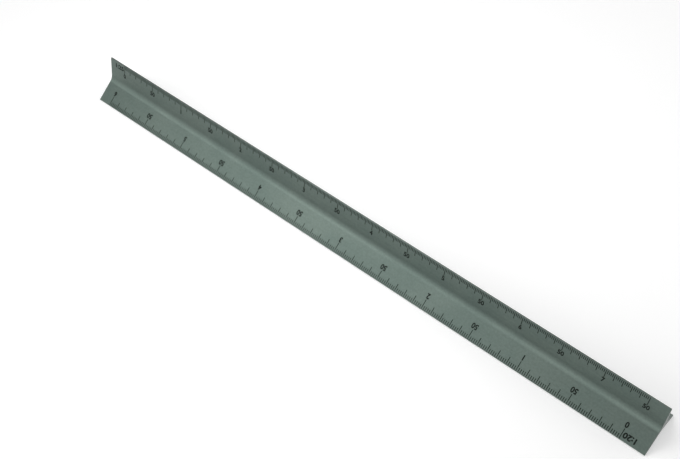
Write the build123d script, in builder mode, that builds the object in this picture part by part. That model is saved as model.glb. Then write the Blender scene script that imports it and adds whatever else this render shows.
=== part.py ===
from build123d import *
from math import radians, sqrt, tan
import os

# Triangular scale ruler, made as one solid aluminium extrusion and sawn to length.
# X runs along the ruler, Y across it and Z up. It lies on two of its ribs with the third rib
# on top, and the origin is on the ground, under the middle of the ruler.

# Driving dimensions, in millimetres and degrees
overall_length = 319.0      # the 300 mm scales and the blank ends beyond them
face_width = 25.0           # across one face, between the sharp corners its ribs would have
rib_edge_width = 0.7        # blunt edge that each rib ends in
flank_angle = 22.0          # slope of a scale flank, below the line across the two ribs
valley_radius = 5.0         # round bottom of the valley where the two flanks of a face meet
rib_corner_radius = 0.2     # soft corners on both sides of a rib's blunt edge
end_edge_break = 0.12       # saw burr taken off all round both ends

# Places that follow from them, measured from the centre of the section
faces_round = 3
face_distance = face_width / (2 * sqrt(3))          # centre to the line across one face
sharp_corner_distance = face_width / sqrt(3)        # centre to the sharp corner of a rib
rib_corner = face_width / 2 - rib_edge_width        # rib corner, along the line across the face
valley_drop = rib_corner * tan(radians(flank_angle))  # down to where the flanks would meet
rib_edge_distance = sharp_corner_distance - rib_edge_width * sqrt(3) / 2

# Hollow of one face, drawn for the face that lies on the ground:
# a straight flank in from each rib, and the round valley between the two
with BuildSketch() as face_hollow:
    with BuildLine():
        face_line = -face_distance
        Polyline((-rib_corner, face_line), (0, face_line + valley_drop), (rib_corner, face_line),
                 close=True)
    make_face()
    fillet(face_hollow.vertices().sort_by(Axis.Y)[-1], radius=valley_radius)

# Section of the extrusion: a triangle with its corners cut blunt and all three faces hollowed
with BuildSketch() as section:
    RegularPolygon(radius=sharp_corner_distance, side_count=faces_round, rotation=90)
    with PolarLocations(rib_edge_distance, faces_round, start_angle=90):
        Rectangle(rib_edge_width, 2 * rib_edge_width, align=(Align.MIN, Align.CENTER),
                  mode=Mode.SUBTRACT)
    with PolarLocations(0, faces_round):
        add(face_hollow.sketch, mode=Mode.SUBTRACT)
    fillet(section.vertices().group_by(SortBy.DISTANCE)[-1], radius=rib_corner_radius)

# The two lower ribs touch the ground, so the section is lifted by its own lowest point
ground_height = -section.sketch.bounding_box().min.Y
sawn_end = Plane(origin=(-overall_length / 2, 0, ground_height), x_dir=(0, 1, 0), z_dir=(1, 0, 0))

with BuildPart() as ruler_body:
    with BuildSketch(sawn_end):
        add(section.sketch)
    extrude(amount=overall_length)
    end_faces = ruler_body.faces().filter_by(Axis.X)
    chamfer(end_faces.edges(), length=end_edge_break)

os.makedirs("parts", exist_ok=True)
ruler_body.part.label = "ruler_body"
export_step(ruler_body.part, "parts/ruler_body.step")
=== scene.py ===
import bpy
import bmesh
from math import atan2, cos, radians, sin
from mathutils import Matrix, Quaternion, Vector


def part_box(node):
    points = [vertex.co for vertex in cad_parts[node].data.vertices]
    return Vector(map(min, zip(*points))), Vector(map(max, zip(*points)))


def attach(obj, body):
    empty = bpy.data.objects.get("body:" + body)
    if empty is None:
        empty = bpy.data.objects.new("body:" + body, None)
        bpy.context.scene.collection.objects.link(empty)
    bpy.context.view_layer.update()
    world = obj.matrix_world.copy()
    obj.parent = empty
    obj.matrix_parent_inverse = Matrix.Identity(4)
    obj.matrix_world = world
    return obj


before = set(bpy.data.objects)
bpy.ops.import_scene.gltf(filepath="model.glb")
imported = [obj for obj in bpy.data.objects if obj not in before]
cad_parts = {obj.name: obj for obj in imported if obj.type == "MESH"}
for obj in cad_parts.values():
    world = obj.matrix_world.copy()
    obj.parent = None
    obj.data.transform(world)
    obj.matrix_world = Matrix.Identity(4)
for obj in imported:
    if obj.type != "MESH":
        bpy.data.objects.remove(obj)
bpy.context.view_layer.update()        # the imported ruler, fixed in place, in metres
mm = 0.001
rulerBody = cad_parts["ruler_body"]
rulerLow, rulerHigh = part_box("ruler_body")
halfLength = (rulerHigh.x - rulerLow.x) / 2
print("ruler loaded,", round(2 * halfLength / mm, 1), "mm long")


class Wire:                        # one output of a node, for use in shader maths
    def __init__(self, shader, socket):
        self.shader = shader
        self.socket = socket

    def maths(self, operation, first, second):
        return self.shader.node("ShaderNodeMath", {"operation": operation}, {0: first, 1: second})

    def __add__(self, other):
        return self.maths("ADD", self, other)

    def __radd__(self, other):
        return self.maths("ADD", other, self)

    def __sub__(self, other):
        return self.maths("SUBTRACT", self, other)

    def __rsub__(self, other):
        return self.maths("SUBTRACT", other, self)

    def __mul__(self, other):
        return self.maths("MULTIPLY", self, other)

    def __rmul__(self, other):
        return self.maths("MULTIPLY", other, self)

    def __abs__(self):
        return self.maths("ABSOLUTE", self, 0)

    def output(self, name):        # another output of the same node
        return Wire(self.shader, self.socket.node.outputs[name])


class Shader:                      # adds nodes to one material, or to the world
    def __init__(self, owner):
        owner.use_nodes = True
        self.tree = owner.node_tree
        self.tree.nodes.clear()

    def node(self, kind, settings=None, sockets=None, output=0):
        made = self.tree.nodes.new(kind)
        for name, value in (settings or {}).items():
            setattr(made, name, value)
        for name, value in (sockets or {}).items():
            if isinstance(value, Wire):
                self.tree.links.new(value.socket, made.inputs[name])
            else:
                made.inputs[name].default_value = value
        return Wire(self, made.outputs[output]) if made.outputs else None

    def mixColour(self, share, first, second):
        sockets = {"Factor": share}
        for slot, value in ((6, first), (7, second)):
            sockets[slot] = value if isinstance(value, Wire) else (*value, 1)
        return self.node("ShaderNodeMix", {"data_type": "RGBA"}, sockets, output=2)

    def noise(self, place, size, detail=2, stretch=(1, 1, 1)):
        steps = tuple(way / size for way in stretch)
        scaled = self.node("ShaderNodeVectorMath", {"operation": "MULTIPLY"}, {0: place, 1: steps})
        return self.node("ShaderNodeTexNoise", None, {"Vector": scaled, "Scale": 1, "Detail": detail})

    def ramp(self, value, low, high):      # 0 below low, 1 above high, smooth between
        settings = {"interpolation_type": "SMOOTHSTEP"}
        sockets = {"Value": value, "From Min": low, "From Max": high}
        return self.node("ShaderNodeMapRange", settings, sockets)

    def bump(self, height, depth, normal=None):
        sockets = {"Height": height, "Distance": depth, "Strength": 1}
        if normal:
            sockets["Normal"] = normal
        return self.node("ShaderNodeBump", None, sockets)


satinLook = {
    "colour": (0.120, 0.153, 0.136),
    "coolColour": (0.114, 0.149, 0.133),   # patches of the anodic layer that are a little greener
    "patchSize": 22 * mm,
    "patchEdges": (0.35, 0.65),            # noise levels where a patch starts and where it is full
    "mottleSize": 0.9 * mm,                # faint cloudiness of the etched metal
    "mottle": 0.36,
    "lineSize": 0.30 * mm,                 # drawing lines of the extrusion, along the ruler
    "lineStretch": 0.004,
    "lineShade": 0.08,
    "lineDepth": 0.012 * mm,
    "broadLineSize": 1.20 * mm,
    "broadLineShade": 0.12,
    "darkestShade": 0.90,                  # share of the colour that is left in the darkest lines
    "grainSize": 0.09 * mm,                # etched grain under the anodic layer
    "grainDepth": 0.004 * mm,
    "roughness": 0.40,
    "lineRoughness": 0.10,                 # how much the lines and the patches change it
    "patchRoughness": 0.06,
    "wornColour": (0.150, 0.182, 0.165),   # where handling has rubbed the rib edges
    "wornRoughness": 0.30,
    "wornStart": 0.30 * mm,                # how far in from the top of a rib it starts
    "wornFull": 0.05 * mm,
    "rubSize": 3 * mm,
    "rubStretch": 0.3,
    "rubEdges": (0.35, 0.60),
    "sawnColour": (0.155, 0.175, 0.162),   # paler metal of the two sawn ends
    "sawMarkColour": (0.108, 0.123, 0.114),
    "sawnStart": 0.14 * mm,                # how far in from the end of the ruler it starts
    "sawnFull": 0.08 * mm,
    "sawStep": 0.35 * mm,
    "sawStretch": 0.03,
    "sawEdges": (0.25, 0.75),
    "sawDepth": 0.03 * mm,
}


def makeSatinAluminium(look, sectionCentre):
    material = bpy.data.materials.new("satinAluminium")
    shader = Shader(material)
    place = shader.node("ShaderNodeTexCoord", output="Object")
    along = shader.node("ShaderNodeSeparateXYZ", None, {0: place})

    patches = shader.ramp(shader.noise(place, look["patchSize"], 3), *look["patchEdges"])
    lines = shader.noise(place, look["lineSize"], 3, (look["lineStretch"], 1, 1))
    broadLines = shader.noise(place, look["broadLineSize"], 2, (look["lineStretch"], 1, 1))
    grain = shader.noise(place, look["grainSize"], 2)
    colour = shader.mixColour(patches, look["colour"], look["coolColour"])
    mottle = shader.noise(place, look["mottleSize"], 3)
    shade = look["darkestShade"] + look["broadLineShade"] * broadLines + look["lineShade"] * lines
    shade = shade + look["mottle"] * (mottle - 0.5)
    grey = shader.node("ShaderNodeCombineColor", None, {"Red": shade, "Green": shade, "Blue": shade})
    colour = shader.node("ShaderNodeMix", {"data_type": "RGBA", "blend_type": "MULTIPLY"},
                         {"Factor": 1, 6: colour, 7: grey}, output=2)

    # rib edges: the further from the middle of the section, the more they are rubbed
    centre = (0, sectionCentre.y, sectionCentre.z)
    across = shader.node("ShaderNodeVectorMath", {"operation": "SUBTRACT"}, {0: place, 1: centre})
    across = shader.node("ShaderNodeVectorMath", {"operation": "MULTIPLY"}, {0: across, 1: (0, 1, 1)})
    radius = shader.node("ShaderNodeVectorMath", {"operation": "LENGTH"}, {0: across}, output="Value")
    reach = rulerHigh.z - sectionCentre.z
    rubbed = shader.noise(place, look["rubSize"], 4, (look["rubStretch"], 1, 1))
    worn = shader.ramp(radius, reach - look["wornStart"], reach - look["wornFull"])
    worn = worn * shader.ramp(rubbed, *look["rubEdges"])
    colour = shader.mixColour(worn, colour, look["wornColour"])

    # sawn ends: paler metal with the marks of the blade
    sawn = shader.ramp(abs(along), halfLength - look["sawnStart"], halfLength - look["sawnFull"])
    blade = shader.noise(place, look["sawStep"], 2, (0, 1, look["sawStretch"]))
    blade = shader.ramp(blade, *look["sawEdges"])
    marked = shader.mixColour(blade, look["sawMarkColour"], look["sawnColour"])
    colour = shader.mixColour(sawn, colour, marked)

    roughness = look["roughness"] + look["lineRoughness"] * (lines - 0.5)
    roughness = roughness + look["patchRoughness"] * (patches - 0.5)
    roughness = roughness + worn * (look["wornRoughness"] - look["roughness"])
    normal = shader.bump(grain, look["grainDepth"])
    normal = shader.bump(lines * (1 - sawn), look["lineDepth"], normal)
    normal = shader.bump(blade * sawn, look["sawDepth"], normal)
    surface = shader.node("ShaderNodeBsdfPrincipled", None, {
        "Base Color": colour, "Metallic": 1, "Roughness": roughness, "Normal": normal})
    shader.node("ShaderNodeOutputMaterial", None, {"Surface": surface})
    return material


inkLook = {
    "colour": (0.005, 0.008, 0.006),
    "thinColour": (0.014, 0.020, 0.017),   # where the dye took less well
    "thinEdges": (0.4, 0.7),
    "roughness": 0.55,
    "grainRoughness": 0.12,
    "specular": 0.12,                      # the dye sits inside the anodic layer, with hardly any shine
    "patchSize": 1.2 * mm,
    "grainSize": 0.12 * mm,
    "grainDepth": 0.003 * mm,
}


def makeBlackPrint(look):
    material = bpy.data.materials.new("blackPrint")
    shader = Shader(material)
    place = shader.node("ShaderNodeTexCoord", output="Object")
    thin = shader.ramp(shader.noise(place, look["patchSize"], 3), *look["thinEdges"])
    grain = shader.noise(place, look["grainSize"], 2)
    surface = shader.node("ShaderNodeBsdfPrincipled", None, {
        "Base Color": shader.mixColour(thin, look["colour"], look["thinColour"]),
        "Roughness": look["roughness"] + look["grainRoughness"] * (grain - 0.5),
        "Specular IOR Level": look["specular"],
        "Normal": shader.bump(grain, look["grainDepth"])})
    shader.node("ShaderNodeOutputMaterial", None, {"Surface": surface})
    return material


def findFlanks(body):              # the printed flanks are by far the largest flat faces
    mesh = body.data
    largest = max(face.area for face in mesh.polygons)
    sameWay = 0.999                # cosine between two faces of one flank
    flanks = []
    for face in mesh.polygons:
        if face.area < largest / 2:
            continue
        flank = next((one for one in flanks if one["out"].dot(face.normal) > sameWay), None)
        if flank is None:
            flank = {"out": face.normal.copy(), "corners": []}
            flanks.append(flank)
        flank["corners"] += [mesh.vertices[index].co.copy() for index in face.vertices]
    corners = [corner for flank in flanks for corner in flank["corners"]]
    centre = sum(corners, Vector()) / len(corners)
    for flank in flanks:
        byRadius = sorted(flank["corners"], key=lambda corner: (corner - centre).yz.length)
        foot, edge = byRadius[0], byRadius[-1]
        flank["edge"] = edge                                   # on the rib side
        flank["up"] = Vector((0, edge.y - foot.y, edge.z - foot.z)).normalized()
        flank["right"] = flank["up"].cross(flank["out"])
    flanks.sort(key=lambda flank: atan2(flank["out"].z, flank["out"].y))
    return flanks, centre


flanks, sectionCentre = findFlanks(rulerBody)
satinAluminium = makeSatinAluminium(satinLook, sectionCentre)
blackPrint = makeBlackPrint(inkLook)
rulerBody.material_slots[0].material = satinAluminium
print("finishes made,", len(flanks), "flanks found")


printLayout = {
    "scaleLength": 300 * mm,
    "zeroMargin": 10.93 * mm,      # from the sawn end to the zero line
    "lineWidth": 0.33 * mm,
    "lineStart": 0.05 * mm,        # the lines start this far in from the rib edge
    "fineReach": 2.0 * mm,
    "middleReach": 3.8 * mm,
    "longReach": 4.8 * mm,
    "numberHeight": 2.65 * mm,
    "ratioHeight": 2.6 * mm,
    "ratioMiddle": 2.25 * mm,
    "ratioGap": 0.6 * mm,          # between the ratio and the zero line
    "letterWidth": 0.88,           # narrower than the plain font
    "ratioWidth": 1.10,            # and the ratio is wider
    "boldness": 0.040,
    "curveSteps": 3,
    "weldDistance": 0.0005,        # in the font's own units
    "inkAbove": 0.018 * mm,
    "inkBelow": 0.022 * mm,
}
# Ratios in the order of the flanks round the section, with the fine, middle and numbered steps
# in metres of the thing drawn, and how far in from the rib edge the middle of the numbers is.
# On the front face both scales sit a little to one side.
scales = [
    {"ratio": 100, "fine": 0.1, "middle": 0.5, "numbered": 1, "numbersAt": 6.35 * mm, "moved": 0},
    {"ratio": 125, "fine": 0.1, "middle": 0.5, "numbered": 1, "numbersAt": 6.10 * mm, "moved": 0},
    {"ratio": 50, "fine": 0.05, "middle": 0.5, "numbered": 1, "numbersAt": 6.35 * mm, "moved": 0},
    {"ratio": 75, "fine": 0.1, "middle": 0.5, "numbered": 1, "numbersAt": 6.10 * mm, "moved": 0},
    {"ratio": 20, "fine": 0.02, "middle": 0.1, "numbered": 0.5, "numbersAt": 6.35 * mm, "moved": -1.0 * mm},
    {"ratio": 25, "fine": 0.02, "middle": 0.1, "numbered": 0.5, "numbersAt": 6.10 * mm, "moved": -1.0 * mm},
]


def addBlock(bm, low, high):       # a plain upright block between two corners
    points = [bm.verts.new((x, y, z)) for z in (low[2], high[2])
              for x, y in ((low[0], low[1]), (high[0], low[1]), (high[0], high[1]), (low[0], high[1]))]
    bm.faces.new(points[3::-1])
    bm.faces.new(points[4:])
    for index in range(4):
        after = (index + 1) % 4
        bm.faces.new((points[index], points[after], points[4 + after], points[4 + index]))


letterStore = {}                   # each text is made once


def letterMesh(text, layout):      # letters one unit thick, standing on their base line, welded closed
    if text in letterStore:
        return letterStore[text]
    curve = bpy.data.curves.new("letters", "FONT")
    curve.body = text
    curve.align_x = "CENTER"
    curve.extrude = 0.5
    curve.offset = layout["boldness"]
    curve.resolution_u = layout["curveSteps"]
    holder = bpy.data.objects.new("letters", curve)
    bpy.context.scene.collection.objects.link(holder)
    bpy.context.view_layer.update()
    evaluated = holder.evaluated_get(bpy.context.evaluated_depsgraph_get())
    mesh = bpy.data.meshes.new_from_object(evaluated)
    bpy.data.objects.remove(holder)
    bm = bmesh.new()
    bm.from_mesh(mesh)
    bmesh.ops.remove_doubles(bm, verts=bm.verts, dist=layout["weldDistance"])
    bmesh.ops.recalc_face_normals(bm, faces=bm.faces)
    bm.to_mesh(mesh)
    bm.free()
    letterStore[text] = mesh
    return mesh


def letterHeight(layout):          # height of a figure in the font's own units
    heights = [vertex.co.y for vertex in letterMesh("1", layout).vertices]
    return max(heights) - min(heights)


def addText(bm, text, middle, height, width, layout):
    mesh = letterMesh(text, layout)
    size = height / letterHeight(layout)
    thickness = layout["inkAbove"] + layout["inkBelow"]
    lift = (layout["inkAbove"] - layout["inkBelow"]) / 2
    place = Matrix.Translation((middle[0], middle[1] - height / 2, lift))
    stretch = Matrix.Diagonal((size * width, size, thickness, 1))
    copy = mesh.copy()
    copy.transform(place @ stretch)
    bm.from_mesh(copy)
    bpy.data.meshes.remove(copy)


def finishPrint(bm, name, place):
    mesh = bpy.data.meshes.new(name)
    bm.to_mesh(mesh)
    openEdges = sum(1 for edge in bm.edges if len(edge.link_faces) != 2)
    bm.free()
    mesh.transform(place)
    mesh.materials.append(blackPrint)
    piece = bpy.data.objects.new(name, mesh)
    bpy.context.scene.collection.objects.link(piece)
    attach(piece, "root")
    print("  ", name, len(mesh.polygons), "faces", openEdges, "open edges")


def makeScale(scale, flank, layout):
    ratio = scale["ratio"]
    right, up, out = flank["right"], flank["up"], flank["out"]
    zero = -right.x * (halfLength - layout["zeroMargin"]) + scale["moved"]
    place = Matrix((right, up, out)).transposed().to_4x4()
    place.translation = Vector((zero, flank["edge"].y, flank["edge"].z))
    tag = "1to" + str(ratio)

    step = scale["fine"] / ratio
    perMiddle = round(scale["middle"] / scale["fine"])
    perNumber = round(scale["numbered"] / scale["fine"])
    perMetre = round(1 / scale["fine"])
    halfLine = layout["lineWidth"] / 2
    lines, numbers, title = bmesh.new(), bmesh.new(), bmesh.new()
    for count in range(round(layout["scaleLength"] / step) + 1):
        x = count * step
        reach = layout["fineReach"]
        if count % perMiddle == 0:
            reach = layout["middleReach"]
        if count % perNumber == 0:
            reach = layout["longReach"]
            label = "50" if count % perMetre else str(count // perMetre)    # a half metre reads 50
            addText(numbers, label, (x, -scale["numbersAt"]), layout["numberHeight"],
                    layout["letterWidth"], layout)
        addBlock(lines, (x - halfLine, -reach, -layout["inkBelow"]),
                 (x + halfLine, -layout["lineStart"], layout["inkAbove"]))
    text = "1:" + str(ratio)
    halfText = max(vertex.co.x for vertex in letterMesh(text, layout).vertices)
    halfText = halfText * layout["ratioWidth"] * layout["ratioHeight"] / letterHeight(layout)
    addText(title, text, (-layout["ratioGap"] - halfText, -layout["ratioMiddle"]),
            layout["ratioHeight"], layout["ratioWidth"], layout)
    finishPrint(lines, "lines_" + tag, place)
    finishPrint(numbers, "numbers_" + tag, place)
    finishPrint(title, "ratio_" + tag, place)


for scale, flank in zip(scales, flanks):
    makeScale(scale, flank, printLayout)
print("six scales printed")


floorLook = {
    "halfSize": 4.0,
    "colour": (0.80, 0.80, 0.80),
    "glow": 0.35,                  # keeps the floor white in the picture and in the metal
}


def makeFloor(look):
    half = look["halfSize"]
    mesh = bpy.data.meshes.new("floor")
    mesh.from_pydata([(-half, -half, 0), (half, -half, 0), (half, half, 0), (-half, half, 0)], [],
                     [(0, 1, 2, 3)])
    floor = bpy.data.objects.new("floor", mesh)
    bpy.context.scene.collection.objects.link(floor)
    material = bpy.data.materials.new("paleFloor")
    shader = Shader(material)
    ray = shader.node("ShaderNodeLightPath", output="Is Camera Ray")
    seen = ray + ray.output("Is Glossy Ray") + ray.output("Is Transmission Ray")
    plain = shader.node("ShaderNodeBsdfDiffuse", None, {"Color": (*look["colour"], 1)})
    glow = shader.node("ShaderNodeEmission", None, {"Strength": look["glow"]})
    glowing = shader.node("ShaderNodeAddShader", None, {0: plain, 1: glow})
    surface = shader.node("ShaderNodeMixShader", None, {0: seen, 1: plain, 2: glowing})
    shader.node("ShaderNodeOutputMaterial", None, {"Surface": surface})
    mesh.materials.append(material)


makeFloor(floorLook)
print("floor laid")


roomLook = {                       # wide soft patches of light on a plain level, by direction
    "level": 0.30,
    "wallFront": 0.10,             # paler low down, and most of all behind the ruler
    "wallBehind": 0.45,
    "wallFull": 8,                 # degrees above and below the horizon
    "wallGone": 20,
    "behind": (-0.4, 0.5),         # from the front to the back of the room, by the direction's Y
    "full": 8,                     # degrees from a patch's middle to where it starts to fade
    "gone": 26,
    "patches": [
        {"azimuth": -35, "elevation": 15, "strength": 1.32},
        {"azimuth": 0, "elevation": 35, "strength": 0.86},
        {"azimuth": -2, "elevation": 10, "strength": 0.95},
    ],
}
softboxes = {                      # direction from the ruler, distance, size and power
    "near": {"azimuth": -90, "elevation": 75, "distance": 0.25, "size": (0.20, 0.20), "power": 0.28},
    "front": {"azimuth": -35, "elevation": 40, "distance": 0.60, "size": (0.40, 0.40), "power": 0.68},
    "back": {"azimuth": 150, "elevation": 40, "distance": 0.90, "size": (0.60, 0.60), "power": 1.60},
}


def directionFrom(azimuth, elevation):         # azimuth 0 is the -Y side, 90 the +X side
    a, e = radians(azimuth), radians(elevation)
    return Vector((sin(a) * cos(e), -cos(a) * cos(e), sin(e)))


def makeRoom(look):
    world = bpy.data.worlds.new("studio")
    bpy.context.scene.world = world
    shader = Shader(world)
    direction = shader.node("ShaderNodeTexCoord", output="Generated")
    way = shader.node("ShaderNodeSeparateXYZ", None, {0: direction})
    low = 1 - shader.ramp(abs(way.output("Z")), sin(radians(look["wallFull"])),
                          sin(radians(look["wallGone"])))
    behind = shader.ramp(way.output("Y"), *look["behind"])
    wall = look["wallFront"] + behind * (look["wallBehind"] - look["wallFront"])
    light = look["level"] + low * wall
    for patch in look["patches"]:
        middle = directionFrom(patch["azimuth"], patch["elevation"])
        near = shader.node("ShaderNodeVectorMath", {"operation": "DOT_PRODUCT"},
                           {0: direction, 1: middle}, output="Value")
        spread = shader.ramp(near, cos(radians(look["gone"])), cos(radians(look["full"])))
        light = light + spread * patch["strength"]
    background = shader.node("ShaderNodeBackground", None, {"Color": (1, 1, 1, 1), "Strength": light})
    shader.node("ShaderNodeOutputWorld", None, {"Surface": background})


def aimFrom(azimuth, elevation, distance, target):
    back = directionFrom(azimuth, elevation)
    return target + back * distance, (-back).to_track_quat("-Z", "Y")


def makeSoftbox(name, box):
    lamp = bpy.data.lights.new(name, "AREA")
    lamp.shape = "RECTANGLE"
    lamp.size, lamp.size_y = box["size"]
    lamp.energy = box["power"]
    holder = bpy.data.objects.new(name, lamp)
    bpy.context.scene.collection.objects.link(holder)
    holder.rotation_mode = "QUATERNION"
    holder.location, holder.rotation_quaternion = aimFrom(
        box["azimuth"], box["elevation"], box["distance"], Vector((0, 0, 0)))


makeRoom(roomLook)
for name, box in softboxes.items():
    makeSoftbox(name, box)
print("room and lights made")


cameraView = {
    "azimuth": 38.225,
    "elevation": 50.229,
    "roll": 1.493,
    "distance": 493.09 * mm,
    "aim": (-3.87 * mm, -5.86 * mm, 10.0 * mm),
    "focalLength": 57.107,         # millimetres, on the sensor below
    "sensorWidth": 36.0,
    "clipStart": 10 * mm,
    "clipEnd": 20,
}


def makeCamera(look):
    lens = bpy.data.cameras.new("camera")
    lens.sensor_width = look["sensorWidth"]
    lens.lens = look["focalLength"]
    lens.clip_start = look["clipStart"]
    lens.clip_end = look["clipEnd"]
    camera = bpy.data.objects.new("camera", lens)
    bpy.context.scene.collection.objects.link(camera)
    place, turn = aimFrom(look["azimuth"], look["elevation"], look["distance"], Vector(look["aim"]))
    camera.location = place
    camera.rotation_mode = "QUATERNION"
    camera.rotation_quaternion = turn @ Quaternion((0, 0, 1), radians(look["roll"]))
    bpy.context.scene.camera = camera


makeCamera(cameraView)
bpy.context.scene.view_settings.view_transform = "Standard"
print("camera set")
